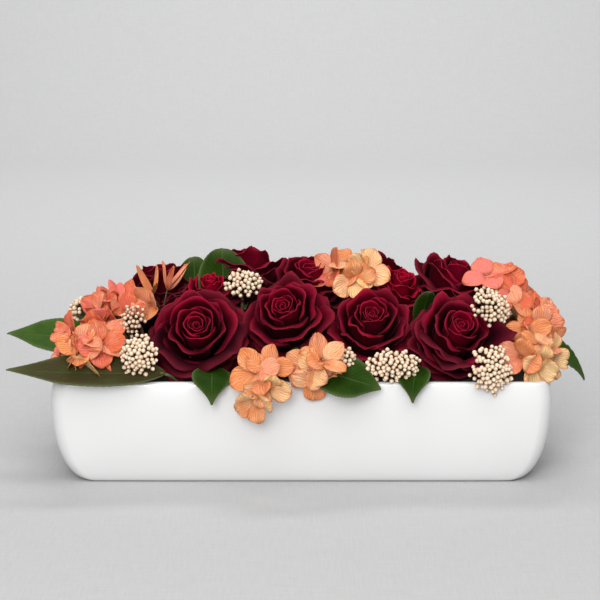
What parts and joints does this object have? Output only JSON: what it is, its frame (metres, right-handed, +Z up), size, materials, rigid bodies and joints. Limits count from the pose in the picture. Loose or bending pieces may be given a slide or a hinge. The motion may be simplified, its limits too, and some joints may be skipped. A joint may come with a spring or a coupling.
{
  "type": "flower box",
  "caption": "Long white glazed trough holding dry foam and a low arrangement of preserved roses, hydrangea, rice flower and leaves on stems and wires.",
  "frame": {"origin": "centre of the trough's flat foot, on the surface it stands on", "axes": "+X along the trough, -Y towards its front, +Z up"},
  "size_m": [0.3798, 0.1742, 0.135],
  "materials": {
    "glaze": "white gloss glaze",
    "dry_foam": "matte, porous",
    "rose_petals": "velvety burgundy",
    "small_rose_petals": "velvety crimson",
    "hydrangea_petals": "dry, matte, veined",
    "rice_flower_buds": "matte",
    "leaves": "satin",
    "wire": "matte green"
  },
  "bodies": {
    "root": {"trough": "glaze", "foam_brick": "dry_foam", "foam_offcut": "dry_foam", "rose_front_left": "rose_petals", "rose_front_mid_left": "rose_petals", "rose_front_mid_right": "rose_petals", "rose_front_right": "rose_petals", "rose_back_left": "rose_petals", "rose_back_mid_left": "rose_petals", "rose_back_middle": "rose_petals", "rose_back_mid_right": "rose_petals", "rose_back_right": "rose_petals", "rose_small_left": "small_rose_petals", "rose_small_right": "small_rose_petals", "wire_front_left": "wire", "wire_front_mid_left": "wire", "wire_front_mid_right": "wire", "wire_front_right": "wire", "wire_back_left": "wire", "wire_back_mid_left": "wire", "wire_back_middle": "wire", "wire_back_mid_right": "wire", "wire_back_right": "wire", "wire_small_left": "wire", "wire_small_right": "wire", "hydrangea_left_low": "hydrangea_petals", "hydrangea_left_middle": "hydrangea_petals", "hydrangea_left_top": "hydrangea_petals", "hydrangea_front_left": "hydrangea_petals", "hydrangea_front_right": "hydrangea_petals", "hydrangea_top": "hydrangea_petals", "hydrangea_right_top": "hydrangea_petals", "hydrangea_right_middle": "hydrangea_petals", "hydrangea_right_low": "hydrangea_petals", "hydrangea_back_left": "hydrangea_petals", "hydrangea_back_right": "hydrangea_petals", "rice_flower_left_upper": "rice_flower_buds", "rice_flower_left_lower": "rice_flower_buds", "rice_flower_left_back": "rice_flower_buds", "rice_flower_top": "rice_flower_buds", "rice_flower_front_middle": "rice_flower_buds", "rice_flower_front_right": "rice_flower_buds", "rice_flower_right_upper": "rice_flower_buds", "rice_flower_right_lower": "rice_flower_buds", "rice_flower_back": "rice_flower_buds", "leaf_left_upper": "leaves", "leaf_left_lower": "leaves", "leaf_left_round": "leaves", "leaf_top_right": "leaves", "leaf_top_left": "leaves", "leaf_front_left": "leaves", "leaf_front_middle": "leaves", "leaf_front_right": "leaves", "leaf_middle": "leaves", "leaf_right": "leaves", "leaf_back_left": "leaves", "leaf_back_right": "leaves"}
  },
  "joints": []
}
